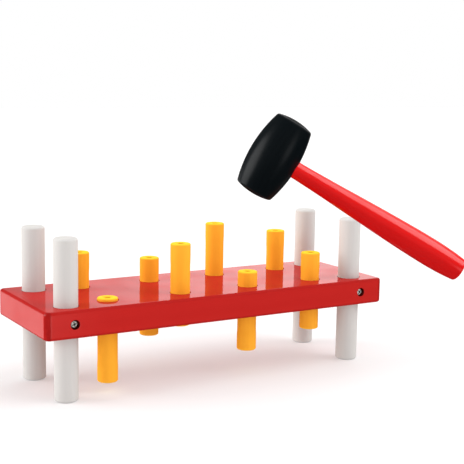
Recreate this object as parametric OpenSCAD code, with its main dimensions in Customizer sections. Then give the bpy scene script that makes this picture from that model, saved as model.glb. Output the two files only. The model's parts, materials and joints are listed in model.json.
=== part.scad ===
// Peg pounding bench: a drilled board on four posts, eight turned pegs and a hammer.
// Millimetres, +Z up. The origin lies on the floor, under the middle of the board.
// +X runs along the board, and the long front face looks towards -Y.

/* [Board] */
// Length of the board, along X
board_len = 303; // [280:1:360]
// Width of the board, along Y
board_wid = 102; // [92:1:130]
// Thickness of the board
board_thk = 21; // [16:0.5:26]
// Height of the board's underside above the floor
board_lift = 50.5; // [48:0.5:70]
// Radius of the board's upright corners
board_corner_r = 4.5; // [1:0.5:6]
// Rounding of the edges round the board's two faces
board_edge_r = 2.25; // [0.5:0.25:3]
// Bevel on the rim of each drilled hole
hole_bevel = 0.6; // [0.2:0.1:1]

/* [Posts] */
// Diameter of a post
post_dia = 18; // [14:0.5:22]
// Length of a post, from the floor to its upper end
post_len = 122; // [112:1:150]
// Distance from a post's axis to the near end of the board
post_inset_x = 22.5; // [16:0.5:27]
// Distance from a post's axis to the near long side of the board
post_inset_y = 18; // [15:0.5:22]
// Rounding of a post's two ends
post_end_r = 2; // [0.5:0.25:4]

/* [Pegs] */
// Diameter of a peg at its ends
peg_dia = 15.8; // [12:0.2:18]
// Length of a peg
peg_len = 65; // [60:1:70]
// Distance along the board from a post's axis to that of the first peg in a row
post_to_peg = 36; // [28:0.5:60]
// Distance from a peg's axis to the near long side of the board
peg_inset_y = 24; // [18:0.5:30]
// How far each front peg stands above the board, from left to right
peg_front_rise = [2, 39, 12, 23]; // [0:0.5:45]
// How far each back peg stands above the board, from left to right
peg_back_rise = [28.5, 19.5, 44.5, 34.5]; // [0:0.5:45]
// Rounding of a peg's rims
peg_rim_r = 1.2; // [0.4:0.1:2]
// Length of the full-diameter stretch at each end of a peg
peg_land = 11; // [6:0.5:16]
// Length over which a peg narrows to its waist
peg_taper = 7; // [3:0.5:10]
// How much thinner a peg's waist is, all round
peg_relief = 0.2; // [0.05:0.05:0.6]
// Diameter of the shallow dish in a peg's end
peg_dish_dia = 9; // [5:0.5:9]
// Depth of the dish
peg_dish_depth = 0.5; // [0.2:0.1:1]
// Diameter of the lathe centre's mark in the dish
peg_centre_dia = 1.5; // [1:0.1:3]
// Depth of the lathe centre's mark below the peg's end
peg_centre_depth = 3; // [2:0.1:5]

/* [Screws] */
// Diameter of a screw's shank
screw_dia = 3; // [2:0.1:4]
// Length of a screw below its head
screw_len = 16; // [12:0.5:20]
// Length of a screw's point
screw_tip_len = 3; // [1.5:0.5:5]
// Diameter of a screw's head
screw_head_dia = 5.4; // [4.6:0.1:6.6]
// Height of a screw's head
screw_head_h = 1.8; // [1.2:0.1:2.6]
// Height of the straight edge of a screw's head
screw_head_edge_h = 0.6; // [0.3:0.1:1]
// Diameter of the counterbore that hides a screw's head
cbore_dia = 7.2; // [6.8:0.1:9]
// Depth of the counterbore
cbore_depth = 3.5; // [2.8:0.1:5]

/* [Hammer head] */
// Diameter of the barrel at its middle
head_dia = 40.4; // [34:0.2:48]
// Diameter of the barrel at its striking faces
head_face_dia = 31; // [26:0.2:33]
// Length of the head over both crowned faces
head_len = 67.5; // [54:0.5:80]
// Height of the crown on a striking face
head_crown_h = 2.4; // [0.5:0.1:3]
// Rounding between the barrel and a striking face
head_rim_r = 2.4; // [1:0.1:4]
// How far the handle's socket is drilled past the head's axis
socket_past_axis = 6; // [2:0.5:10]

/* [Hammer handle] */
// Diameter of the handle where it leaves the head
handle_neck_dia = 14; // [10:0.2:15]
// Diameter of the handle at the swell of its grip
handle_swell_dia = 22.8; // [20:0.2:26]
// Diameter that the handle narrows to at its end
handle_end_dia = 19; // [14:0.2:19.6]
// Distance from the head's axis to the swell
handle_swell_at = 149; // [135:1:160]
// Distance from the head's axis to the handle's end
handle_end_at = 178; // [170:1:200]
// Rounding of the handle's end
handle_end_r = 2.5; // [1:0.25:4]
// Bevel on the end that sits in the head
tenon_bevel = 0.8; // [0.3:0.1:1.5]

/* [Swing] */
// Angle of the raised hammer above the position in which it strikes
hammer_lift = 30.5; // [10:0.5:40]
// Angle by which the plane of the swing is turned from X towards the front
swing_turn = 30; // [22:0.5:45]
// Distance from the head's axis to the point of the grip that the hammer swings about
grip_reach = 115.5; // [108:0.5:130]
// How far the blow lands from the struck peg's axis, towards the hand
strike_offset = 3.5; // [0:0.5:5]
// Space between the striking face and the peg at the end of the swing
strike_gap = 0.4; // [0.2:0.1:1]

/* [Fits] */
// Space between a post and its hole in the board, all round
post_fit = 0.15; // [0.05:0.05:0.3]
// Space between a peg and its hole in the board, all round
peg_fit = 0.1; // [0.05:0.01:0.1]
// Space between a screw and the wood round it
screw_fit = 0.05; // [0.02:0.01:0.1]
// Space between the handle and its socket, all round
handle_fit = 0.05; // [0.02:0.01:0.1]
// Space between the handle's inner end and the floor of its socket
socket_floor_gap = 0.5; // [0.2:0.1:1]

/* [Hidden] */

// Segments round a full circle, along a small corner arc and along a long arc
round_fn = 96;
corner_steps = 6;
long_steps = 16;

// Overrun of every cut past the face that it leaves
cut_over = 1;

// Signs of the two ends and the two long sides
LEFT = -1;
RIGHT = 1;
FRONT = -1;
BACK = 1;

// Number of pegs in a row, and which of the front pegs is struck, counted from nought
pegs_a_row = 4;
struck_index = 2;

// Share of the handle's average taper with which it leaves the head
neck_taper_share = 0.5;

red = [0.80, 0.11, 0.10];
white = [0.90, 0.88, 0.86];
yellow = [1.00, 0.68, 0.12];
steel = [0.72, 0.72, 0.70];
black = [0.07, 0.08, 0.09];

board_top = board_lift + board_thk;
board_mid = board_lift + board_thk / 2;
post_span_x = board_len - 2 * post_inset_x;
post_span_y = board_wid - 2 * post_inset_y;
peg_pitch = (post_span_x - 2 * post_to_peg) / (pegs_a_row - 1);
peg_row_gap = board_wid - 2 * peg_inset_y;
post_r = post_dia / 2;
peg_r = peg_dia / 2;
peg_hole_r = peg_r + peg_fit;
post_hole_r = post_r + post_fit;
screw_r = screw_dia / 2;
screw_head_r = screw_head_dia / 2;
screw_seat = board_wid / 2 - cbore_depth;
head_r = head_dia / 2;
head_face_r = head_face_dia / 2;
handle_neck_r = handle_neck_dia / 2;
handle_swell_r = handle_swell_dia / 2;
handle_end_face_r = handle_end_dia / 2;

// Where a post stands and where a peg stands, seen from above
function post_place(side_x, side_y) = [side_x * post_span_x / 2, side_y * post_span_y / 2];
function peg_place(row, i) = [(i - (pegs_a_row - 1) / 2) * peg_pitch, row * peg_row_gap / 2];

// Radius of the arc that rises by `rise` at the middle of a chord of half-length `half`
function arc_radius(half, rise) = (half * half + rise * rise) / (2 * rise);

// Points along an arc, both ends included, and a list without its first point
function arc(centre, r, from, to, steps) = [
    for (i = [0:steps])
        let (a = from + (to - from) * i / steps)
            centre + r * [cos(a), sin(a)]
];
function rest(list) = [for (i = [1:len(list) - 1]) list[i]];

// An outline that is alike at both ends: a middle stretch and a cap, the cap mirrored below
function both_ends(middle, cap) = concat(
    [for (i = [len(cap) - 1:-1:0]) [cap[i].x, -cap[i].y]],
    middle,
    cap
);

// The outer of the two points where circles round a and b meet
function circles_meet(a, ra, b, rb) =
    let (
        d = norm(b - a),
        u = (b - a) / d,
        along = (d * d + ra * ra - rb * rb) / (2 * d),
        across = sqrt(ra * ra - along * along)
    )
    a + along * u + across * [u.y, -u.x];

// A point of the cubic curve with four control points
function cubic(p, t) =
    pow(1 - t, 3) * p[0]
    + 3 * t * pow(1 - t, 2) * p[1]
    + 3 * t * t * (1 - t) * p[2]
    + t * t * t * p[3];

module turned(outline) {
    rotate_extrude($fn = round_fn)
        polygon(outline);
}

// Flat rectangle with round corners, centred
module round_rect(size, r) {
    square([size.x - 2 * r, size.y], center = true);
    square([size.x, size.y - 2 * r], center = true);
    for (sx = [LEFT, RIGHT], sy = [FRONT, BACK])
        translate([sx * (size.x / 2 - r), sy * (size.y / 2 - r)])
            circle(r = r, $fn = round_fn);
}

// Block whose upright corners and face edges are rounded by three crossing profiles
module soft_block(size, corner_r, edge_r) {
    intersection() {
        linear_extrude(height = size.z + cut_over, center = true)
            round_rect([size.x, size.y], corner_r);
        rotate([90, 0, 90])
            linear_extrude(height = size.x + cut_over, center = true)
                round_rect([size.y, size.z], edge_r);
        rotate([90, 0, 0])
            linear_extrude(height = size.y + cut_over, center = true)
                round_rect([size.x, size.z], edge_r);
    }
}

// Hole through the board with a bevelled rim on both faces
module rimmed_hole(r) {
    wide = r + hole_bevel + cut_over;
    turned([
        [0, board_lift - cut_over],
        [wide, board_lift - cut_over],
        [r, board_lift + hole_bevel],
        [r, board_top - hole_bevel],
        [wide, board_top + cut_over],
        [0, board_top + cut_over]
    ]);
}

// Puts a screw, with the underside of its head at the origin, into one long side of the board
module screw_place(side_x, side_y) {
    translate([side_x * post_span_x / 2, side_y * screw_seat, board_mid])
        rotate([-side_y * 90, 0, 0])
            children();
}

// Shank and point of a screw, or the hole that it cuts, grown by `space`
module screw_shank(space) {
    r = screw_r + space;
    turned([
        [0, -screw_len - space],
        [r, screw_tip_len - screw_len - space],
        [r, 0],
        [0, 0]
    ]);
}

// Way for a screw: the hole of its shank and the counterbore over its head
module screw_way() {
    screw_shank(screw_fit);
    cylinder(d = cbore_dia, h = cbore_depth + cut_over, $fn = round_fn);
}

module board() {
    color(red)
        difference() {
            translate([0, 0, board_mid])
                soft_block([board_len, board_wid, board_thk], board_corner_r, board_edge_r);
            for (sx = [LEFT, RIGHT], sy = [FRONT, BACK]) {
                translate(post_place(sx, sy))
                    rimmed_hole(post_hole_r);
                screw_place(sx, sy)
                    screw_way();
            }
            for (row = [FRONT, BACK], i = [0:pegs_a_row - 1])
                translate(peg_place(row, i))
                    rimmed_hole(peg_hole_r);
        }
}

// Dowel with rounded ends, drilled for the screw that holds it in the board
module post(side_x, side_y) {
    half = post_len / 2;
    shoulder = [post_r - post_end_r, half - post_end_r];
    cap = concat(arc(shoulder, post_end_r, 0, 90, corner_steps), [[0, half]]);
    color(white)
        difference() {
            translate(concat(post_place(side_x, side_y), half))
                turned(both_ends([], cap));
            screw_place(side_x, side_y)
                screw_shank(screw_fit);
        }
}

// Pan-head wood screw with a plain shank
module screw(side_x, side_y) {
    dome_h = screw_head_h - screw_head_edge_h;
    dome_r = arc_radius(screw_head_r, dome_h);
    dome_from = acos(screw_head_r / dome_r);
    color(steel)
        screw_place(side_x, side_y) {
            screw_shank(0);
            turned(concat(
                [[0, 0], [screw_head_r, 0]],
                arc([0, screw_head_h - dome_r], dome_r, dome_from, 90, corner_steps)
            ));
        }
}

// Turned peg: full-diameter ends, a slightly thinner waist, and a dish with the lathe
// centre's mark in each end
module peg(row, i, rise) {
    half = peg_len / 2;
    dish_r = peg_dish_dia / 2;
    mark_r = peg_centre_dia / 2;
    bowl_r = arc_radius(dish_r, peg_dish_depth);
    bowl = [0, half - peg_dish_depth + bowl_r];
    cap = concat(
        [[peg_r - peg_relief, half - peg_land - peg_taper], [peg_r, half - peg_land]],
        arc([peg_r - peg_rim_r, half - peg_rim_r], peg_rim_r, 0, 90, corner_steps),
        arc(bowl, bowl_r, asin(dish_r / bowl_r) - 90, asin(mark_r / bowl_r) - 90, corner_steps),
        [[mark_r, half - peg_centre_depth + mark_r], [0, half - peg_centre_depth]]
    );
    color(yellow)
        translate(concat(peg_place(row, i), board_top + rise - half))
            turned(both_ends([], cap));
}

// Stands the hammer over the struck peg. Its own origin is the point of the grip that it
// swings about, its handle lies along X, and its head hangs upright as in the blow.
module hammer_place() {
    blow_height = board_top + peg_front_rise[struck_index] + strike_gap + head_len / 2;
    translate(peg_place(FRONT, struck_index))
        rotate([0, 0, -swing_turn])
            translate([grip_reach + strike_offset, 0, blow_height])
                rotate([0, hammer_lift, 0])
                    children();
}

// Turns a shape about Z into one about the handle's axis, measured from the head's axis
module along_handle() {
    translate([-grip_reach, 0, 0])
        rotate([0, 90, 0])
            children();
}

// Barrel-shaped head with crowned faces and a blind socket for the handle
module hammer_head() {
    half = head_len / 2;
    side_r = arc_radius(half - head_crown_h, head_r - head_face_r);
    side = [head_r - side_r, 0];
    crown_r = arc_radius(head_face_r, head_crown_h);
    crown = [0, half - crown_r];
    rim = circles_meet(crown, crown_r - head_rim_r, side, side_r - head_rim_r);
    rim_from = atan2(rim.y - side.y, rim.x - side.x);
    rim_to = atan2(rim.y - crown.y, rim.x - crown.x);
    cap = concat(
        rest(arc(rim, head_rim_r, rim_from, rim_to, corner_steps)),
        rest(arc(crown, crown_r, rim_to, 90, corner_steps))
    );
    color(black)
        hammer_place()
            difference() {
                translate([-grip_reach, 0, 0])
                    turned(both_ends(arc(side, side_r, -rim_from, rim_from, long_steps), cap));
                along_handle()
                    translate([0, 0, -socket_past_axis])
                        cylinder(
                            r = handle_neck_r + handle_fit,
                            h = socket_past_axis + head_r + cut_over,
                            $fn = round_fn
                        );
            }
}

// Turned handle: a straight end in the socket, a long taper out to the swell of the grip,
// and a rounded end
module hammer_handle() {
    inner_end = socket_floor_gap - socket_past_axis;
    taper_third = (handle_swell_at - head_r) / 3;
    neck_flare = neck_taper_share * (handle_swell_r - handle_neck_r) / 3;
    taper = [
        [handle_neck_r, head_r],
        [handle_neck_r + neck_flare, head_r + taper_third],
        [handle_swell_r, handle_swell_at - taper_third],
        [handle_swell_r, handle_swell_at]
    ];
    grip_r = arc_radius(handle_end_at - handle_swell_at, handle_swell_r - handle_end_face_r);
    grip = [handle_swell_r - grip_r, handle_swell_at];
    end_from = asin((handle_end_at - handle_end_r - handle_swell_at) / (grip_r - handle_end_r));
    corner = grip + (grip_r - handle_end_r) * [cos(end_from), sin(end_from)];
    color(red)
        hammer_place()
            along_handle()
                turned(concat(
                    [[0, inner_end], [handle_neck_r - tenon_bevel, inner_end]],
                    [[handle_neck_r, inner_end + tenon_bevel]],
                    [for (i = [0:long_steps]) cubic(taper, i / long_steps)],
                    rest(arc(grip, grip_r, 0, end_from, corner_steps)),
                    rest(arc(corner, handle_end_r, end_from, 90, corner_steps)),
                    [[0, handle_end_at]]
                ));
}

board();
post(LEFT, FRONT);  // post_front_left
post(RIGHT, FRONT);  // post_front_right
post(LEFT, BACK);  // post_back_left
post(RIGHT, BACK);  // post_back_right
screw(LEFT, FRONT);  // screw_front_left
screw(RIGHT, FRONT);  // screw_front_right
screw(LEFT, BACK);  // screw_back_left
screw(RIGHT, BACK);  // screw_back_right
peg(FRONT, 0, peg_front_rise[0]);  // peg_front_1
peg(FRONT, 1, peg_front_rise[1]);  // peg_front_2
peg(FRONT, 2, peg_front_rise[2]);  // peg_front_3
peg(FRONT, 3, peg_front_rise[3]);  // peg_front_4
peg(BACK, 0, peg_back_rise[0]);  // peg_back_1
peg(BACK, 1, peg_back_rise[1]);  // peg_back_2
peg(BACK, 2, peg_back_rise[2]);  // peg_back_3
peg(BACK, 3, peg_back_rise[3]);  // peg_back_4
hammer_head();
hammer_handle();
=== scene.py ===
"""A peg pounding bench: a lacquered board on four posts, eight turned pegs and a hammer.

Lengths are in metres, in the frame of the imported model: +Z up, +X along the board, and the
origin on the floor under the board's middle. Angles are in degrees where a name says so.
"""

import json
import logging
import math
from dataclasses import dataclass, field
from enum import Enum
from typing import Any

import bmesh
import bpy
from mathutils import Matrix, Vector


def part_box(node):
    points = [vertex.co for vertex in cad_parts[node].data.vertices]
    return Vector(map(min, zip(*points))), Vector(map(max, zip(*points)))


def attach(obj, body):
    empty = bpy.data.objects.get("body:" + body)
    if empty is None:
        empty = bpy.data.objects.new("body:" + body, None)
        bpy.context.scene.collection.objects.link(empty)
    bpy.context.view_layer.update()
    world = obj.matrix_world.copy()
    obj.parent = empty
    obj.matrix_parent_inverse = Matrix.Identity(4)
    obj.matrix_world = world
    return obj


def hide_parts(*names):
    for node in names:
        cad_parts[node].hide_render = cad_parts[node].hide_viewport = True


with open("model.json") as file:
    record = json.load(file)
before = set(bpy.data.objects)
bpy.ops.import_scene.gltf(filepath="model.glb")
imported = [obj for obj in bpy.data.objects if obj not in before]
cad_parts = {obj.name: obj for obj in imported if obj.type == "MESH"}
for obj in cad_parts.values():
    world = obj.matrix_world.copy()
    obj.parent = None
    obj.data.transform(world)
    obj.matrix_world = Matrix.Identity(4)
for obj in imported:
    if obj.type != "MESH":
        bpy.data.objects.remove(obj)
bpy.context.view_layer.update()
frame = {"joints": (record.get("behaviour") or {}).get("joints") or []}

LOG = logging.getLogger("pounding_bench")

MM = 0.001
GRAIN = "grain_co"  # point attribute: place in the timber, its third axis along the grain
PAINTED_LIGHT = "wear"  # attribute: painted light and shade; one gives a rounded edge its painted highlight or painted shade, minus one gives painted shade in a recess and on a matt face
SUPPORT = 0.4 * MM  # how near a rounded edge the flat beside it gets its own points
WELD = 0.001 * MM
SHARP_ANGLE = math.radians(34)  # edges sharper than this aren't shaded smooth
PLATEAU_RISE = 2.5  # how steeply the mask over a rounding rises from its two ends
UP = Vector((0.0, 0.0, 1.0))
WHITE = (1.0, 1.0, 1.0, 1.0)
MIX_NUMBERS = (0, 2, 3)  # inputs of a Mix node: the share and the two values
MIX_COLOURS = (0, 6, 7)

Colour = tuple[float, float, float]
Place = tuple[float, float, float]
Station = tuple[float, float, float]  # radius, place along the axis and painted light mask
Ring = list[bmesh.types.BMVert]


class Slot(Enum):
    """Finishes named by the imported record."""

    RED = "red_lacquer"
    WHITE = "white_lacquer"
    YELLOW = "yellow_lacquer"
    BLACK = "black_lacquer"
    STEEL = "screw_steel"


class Side(Enum):
    """Long sides of the board, as the sign of their Y."""

    FRONT = -1
    BACK = 1


class Body(Enum):
    """Bodies that hold more than one piece."""

    BENCH = "bench"
    HAMMER = "hammer"


# Node trees


class Wiring:
    """A node tree with short ways to add nodes and join them."""

    def __init__(self, tree: bpy.types.NodeTree) -> None:
        """Empties a node tree.

        Args:
            tree: Shader, world or geometry tree to fill.
        """
        self.tree = tree
        tree.nodes.clear()

    def add(self, kind: str, inputs: dict[str | int, Any] | None = None, **settings: Any) -> Any:
        """Adds a node.

        Args:
            kind: Type name of the node.
            inputs: Values or sockets for its inputs, by name or by place.
            **settings: Properties of the node, set before its inputs.

        Returns:
            The new node.
        """
        node = self.tree.nodes.new(kind)
        for name, value in settings.items():
            setattr(node, name, value)
        for key, value in (inputs or {}).items():
            if isinstance(value, bpy.types.NodeSocket):
                self.tree.links.new(value, node.inputs[key])
            else:
                node.inputs[key].default_value = value
        return node

    def math(self, operation: str, *values: Any) -> bpy.types.NodeSocket:
        """Adds a Math node and returns its output.

        Args:
            operation: Name of the operation.
            *values: Numbers or sockets for its inputs.

        Returns:
            The node's output socket.
        """
        node = self.add("ShaderNodeMath", dict(enumerate(values)), operation=operation)
        return node.outputs[0]

    def attribute(self, name: str, output: str) -> bpy.types.NodeSocket:
        """Reads an attribute of the mesh."""
        return self.add("ShaderNodeAttribute", attribute_name=name).outputs[output]

    def noise(
        self, vector: Any, scale: Any, detail: float = 2.0, roughness: float = 0.5
    ) -> bpy.types.NodeSocket:
        """Adds a noise and returns its value.

        Args:
            vector: Socket of the place.
            scale: Scale, a number or a socket.
            detail: Number of finer layers.
            roughness: Weight of the finer layers.

        Returns:
            The noise's value.
        """
        inputs = {"Vector": vector, "Scale": scale, "Detail": detail, "Roughness": roughness}
        return self.add("ShaderNodeTexNoise", inputs).outputs[0]

    def group(self, tree: bpy.types.NodeTree, inputs: dict[str, Any]) -> Any:
        """Adds a shader group and returns its outputs."""
        return self.add("ShaderNodeGroup", inputs, node_tree=tree).outputs

    def bump(self, height: Any, distance: float, strength: float = 1.0) -> Any:
        """Adds a bump, as high as distance where height is one."""
        return self.add("ShaderNodeBump", {"Height": height, "Distance": distance, "Strength": strength})

    def surface(self, inputs: dict[str, Any]) -> None:
        """Adds a Principled BSDF with these inputs as the material's surface."""
        shader = self.add("ShaderNodeBsdfPrincipled", inputs)
        self.add("ShaderNodeOutputMaterial", {"Surface": shader.outputs[0]})

    def remap(
        self, value: Any, low: float, high: float, to_low: float, to_high: float, smooth: bool = False
    ) -> bpy.types.NodeSocket:
        """Carries one range over to another, clamped.

        Args:
            value: Socket to carry over.
            low: Value that gives to_low.
            high: Value that gives to_high.
            to_low: Result at low.
            to_high: Result at high.
            smooth: Whether the result eases in and out.

        Returns:
            The result's socket.
        """
        node = self.add(
            "ShaderNodeMapRange",
            {0: value, 1: low, 2: high, 3: to_low, 4: to_high},
            interpolation_type="SMOOTHSTEP" if smooth else "LINEAR",
        )
        return node.outputs[0]

    def between(self, share: Any, first: Any, second: Any) -> bpy.types.NodeSocket:
        """Mixes two numbers or sockets of numbers."""
        return self.add("ShaderNodeMix", dict(zip(MIX_NUMBERS, (share, first, second)))).outputs[0]

    def blend(self, share: Any, first: Any, second: Any) -> bpy.types.NodeSocket:
        """Mixes two colours.

        Args:
            share: Share of the second colour, a number or a socket.
            first: Colour at nought, a tuple or a socket.
            second: Colour at one, a tuple or a socket.

        Returns:
            The mixed colour's socket.
        """
        first, second = (c if isinstance(c, bpy.types.NodeSocket) else (*c, 1.0) for c in (first, second))
        inputs = dict(zip(MIX_COLOURS, (share, first, second)))
        return self.add("ShaderNodeMix", inputs, data_type="RGBA").outputs[2]


def new_material(name: str) -> tuple[bpy.types.Material, Wiring]:
    """Makes a material.

    Args:
        name: Name of the material.

    Returns:
        The material and the wiring of its empty tree.
    """
    material = bpy.data.materials.new(name)
    material.use_nodes = True
    return material, Wiring(material.node_tree)


def open_group(name: str, kind: str, ins: dict[str, str], outs: dict[str, str]) -> tuple[Wiring, Any]:
    """Starts a node group with named sockets.

    Args:
        name: Name of the group.
        kind: Shader or Geometry.
        ins: Kind of each input, such as Float, by its name.
        outs: Kind of each output, by its name.

    Returns:
        The wiring and the outputs of the group's input node.
    """
    tree = bpy.data.node_groups.new(name, f"{kind}NodeTree")
    wiring = Wiring(tree)
    for sockets, way in ((ins, "INPUT"), (outs, "OUTPUT")):
        for socket, socket_kind in sockets.items():
            tree.interface.new_socket(socket, in_out=way, socket_type=f"NodeSocket{socket_kind}")
    return wiring, wiring.add("NodeGroupInput").outputs


@dataclass
class Effects:
    """Shader groups that several finishes share, each built once.

    Attributes:
        pith: How far the middle of the growth rings lies off the timber's own axis.
        ring_bend: How far the rings wander.
        ring_detail: Finer layers in their wandering.
        pore_stretch: Scale of the pores along the grain, as a share of that across it.
        pore_detail: Finer layers in the pores.
        pore_roughness: Weight of those layers.
        pore_range: Noise from which a pore starts and at which it is full.
        ring_tone: Share of the rings in the tone; the pores have the rest.
        pore_relief: Share of the relief that a full pore takes away.
        wave_detail: Finer layers in the coat's waves.
        smear_detail: Finer layers in the smears.
        smear_range: Noise from which a smear starts and at which it is full.
        patch_scale: Scale of the noise that breaks up the painted edge colour and the painted shade.
        patch_detail: Its finer layers.
        patch_range: Noise that gives the weakest and the full mask.
        patch_floor: The weakest mask.
    """

    pith: Place = (0.031, 0.017, 0.0)
    ring_bend: float = 2.2
    ring_detail: float = 2.0
    pore_stretch: float = 0.06
    pore_detail: float = 3.0
    pore_roughness: float = 0.6
    pore_range: tuple[float, float] = (0.42, 0.68)
    ring_tone: float = 0.55
    pore_relief: float = 0.8
    wave_detail: float = 1.0
    smear_detail: float = 4.0
    smear_range: tuple[float, float] = (0.4, 0.7)
    patch_scale: float = 260.0
    patch_detail: float = 4.0
    patch_range: tuple[float, float] = (0.35, 0.65)
    patch_floor: float = 0.7

    def __post_init__(self) -> None:
        """Builds the three groups."""
        self.timber = self._timber()
        self.skin = self._skin()
        self.painted_shading = self._painted_shading()

    def _timber(self) -> bpy.types.NodeTree:
        """Growth rings and pores that tell through a coat of lacquer.

        Returns:
            The group, which gives a tone and a relief.
        """
        wiring, given = open_group(
            "Timber under lacquer",
            "Shader",
            {"Vector": "Vector", "Ring Scale": "Float", "Pore Scale": "Float"},
            {"Tone": "Float", "Relief": "Float"},
        )
        pith = wiring.add("ShaderNodeMapping", {"Vector": given["Vector"], "Location": self.pith})
        rings = wiring.add(
            "ShaderNodeTexWave",
            {
                "Vector": pith.outputs[0],
                "Scale": given["Ring Scale"],
                "Distortion": self.ring_bend,
                "Detail": self.ring_detail,
            },
            wave_type="RINGS",
            rings_direction="Z",
        )
        stretch = (1.0, 1.0, self.pore_stretch)
        drawn = wiring.add("ShaderNodeMapping", {"Vector": given["Vector"], "Scale": stretch})
        pores = wiring.noise(drawn.outputs[0], given["Pore Scale"], self.pore_detail, self.pore_roughness)
        fine = wiring.remap(pores, *self.pore_range, 0.0, 1.0)
        pore_tone = wiring.math("MULTIPLY", fine, 1.0 - self.ring_tone)
        tone = wiring.math("MULTIPLY_ADD", rings.outputs["Fac"], self.ring_tone, pore_tone)
        relief = wiring.math("SUBTRACT", 1.0, wiring.math("MULTIPLY", fine, self.pore_relief))
        wiring.add("NodeGroupOutput", {"Tone": tone, "Relief": relief})
        return wiring.tree

    def _skin(self) -> bpy.types.NodeTree:
        """The faint waves of sprayed lacquer and the smears that dull it.

        Returns:
            The group, which gives a height and a smear mask.
        """
        wiring, given = open_group(
            "Lacquer skin",
            "Shader",
            {"Vector": "Vector", "Wave Scale": "Float", "Smear Scale": "Float"},
            {"Height": "Float", "Smear": "Float"},
        )
        waves = wiring.noise(given["Vector"], given["Wave Scale"], self.wave_detail)
        smears = wiring.noise(given["Vector"], given["Smear Scale"], self.smear_detail)
        smear = wiring.remap(smears, *self.smear_range, 0.0, 1.0)
        wiring.add("NodeGroupOutput", {"Height": waves, "Smear": smear})
        return wiring.tree

    def _painted_shading(self) -> bpy.types.NodeTree:
        """Masks of the painted highlight or painted shade on rounded edges and of the painted shade in
        recesses, both broken up by noise.

        Returns:
            The group, which gives a mask of each.
        """
        wiring, given = open_group(
            "Edges and hollows",
            "Shader",
            {"Vector": "Vector", "Wear": "Float", "Amount": "Float"},
            {"Edge": "Float", "Hollow": "Float"},
        )
        patches = wiring.noise(given["Vector"], self.patch_scale, self.patch_detail)
        broken = wiring.remap(patches, *self.patch_range, self.patch_floor, 1.0)
        # raised marks rounded edges for their painted highlight or painted shade; sunk marks recesses for
        # painted shade
        raised = wiring.remap(given["Wear"], 0.0, 1.0, 0.0, 1.0)
        sunk = wiring.remap(given["Wear"], -1.0, 0.0, 1.0, 0.0)
        edge = wiring.math("MULTIPLY", wiring.math("MULTIPLY", raised, broken), given["Amount"])
        wiring.add("NodeGroupOutput", {"Edge": edge, "Hollow": wiring.math("MULTIPLY", sunk, broken)})
        return wiring.tree


@dataclass(frozen=True)
class Lacquer:
    """Coloured lacquer over wood, with a clear coat.

    Attributes:
        name: Name of the material.
        colour: Full colour of the coat.
        grain_colour: Colour over the grain, where the coat has sunk in.
        painted_edge_colour: Painted edge colour on rounded edges: a painted highlight where lighter than
            colour, painted shade where darker.
        painted_shade_colour: Painted shade in hollows and recesses, and on the hammer's struck faces.
        gloss: Weight of the clear coat.
        gloss_roughness: Roughness of the clear coat.
        body_roughness: Roughness of the coloured coat under it.
        body_specular: Specular level of the coloured coat.
        smear_share: Share of the gloss that smears take away.
        matt_share: Share of the gloss that is missing in hollows and on struck faces.
        grain_share: How much of the grain's colour shows.
        painted_edge_share: How much of the painted edge colour shows.
        ring_scale: Scale of the growth rings.
        pore_scale: Scale of the pores.
        wave_height: Height of the coat's waves.
        pore_depth: Depth of the pores.
        wave_scale: Scale of the coat's waves.
        smear_scale: Scale of the smears.
        smear_roughness: Roughness that a full smear adds to the coloured coat.
        coat_ior: Refractive index of the clear coat.
    """

    name: str
    colour: Colour
    grain_colour: Colour
    painted_edge_colour: Colour
    painted_shade_colour: Colour
    gloss: float
    gloss_roughness: float
    body_roughness: float = 0.5
    body_specular: float = 0.0
    smear_share: float = 0.2
    matt_share: float = 0.0
    grain_share: float = 0.25
    painted_edge_share: float = 0.3
    ring_scale: float = 90.0
    pore_scale: float = 900.0
    wave_height: float = 0.02 * MM
    pore_depth: float = 0.012 * MM
    wave_scale: float = 420.0
    smear_scale: float = 45.0
    smear_roughness: float = 0.1
    coat_ior: float = 1.5

    def build(self, effects: Effects) -> bpy.types.Material:
        """Makes the material.

        Args:
            effects: The shared shader groups.

        Returns:
            The finished material.
        """
        material, wiring = new_material(self.name)
        grain = wiring.attribute(GRAIN, "Vector")
        wear = wiring.attribute(PAINTED_LIGHT, "Fac")
        timber = wiring.group(
            effects.timber, {"Vector": grain, "Ring Scale": self.ring_scale, "Pore Scale": self.pore_scale}
        )
        skin = wiring.group(
            effects.skin, {"Vector": grain, "Wave Scale": self.wave_scale, "Smear Scale": self.smear_scale}
        )
        light_masks = wiring.group(effects.painted_shading, {"Vector": grain, "Wear": wear, "Amount": self.painted_edge_share})
        grained = wiring.math("MULTIPLY", timber["Tone"], self.grain_share)
        toned = wiring.blend(grained, self.colour, self.grain_colour)
        # Painted light and shade: the edge colour on rounded edges, and the darkest colour with less gloss
        # in recesses.
        edged = wiring.blend(light_masks["Edge"], toned, self.painted_edge_colour)
        roughness = wiring.math("MULTIPLY_ADD", skin["Smear"], self.smear_roughness, self.body_roughness)
        shine = wiring.math("MULTIPLY_ADD", skin["Smear"], -self.smear_share * self.gloss, self.gloss)
        kept = wiring.math("MULTIPLY_ADD", light_masks["Hollow"], -self.matt_share, 1.0)
        pores = wiring.bump(timber["Relief"], self.pore_depth)
        waves = wiring.bump(skin["Height"], self.wave_height)
        wiring.tree.links.new(pores.outputs[0], waves.inputs["Normal"])
        wiring.surface(
            {
                "Base Color": wiring.blend(light_masks["Hollow"], edged, self.painted_shade_colour),
                "Roughness": roughness,
                "Normal": waves.outputs[0],
                "Specular IOR Level": self.body_specular,
                "Coat Weight": wiring.math("MULTIPLY", shine, kept),
                "Coat Roughness": self.gloss_roughness,
                "Coat IOR": self.coat_ior,
            }
        )
        return material


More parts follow.
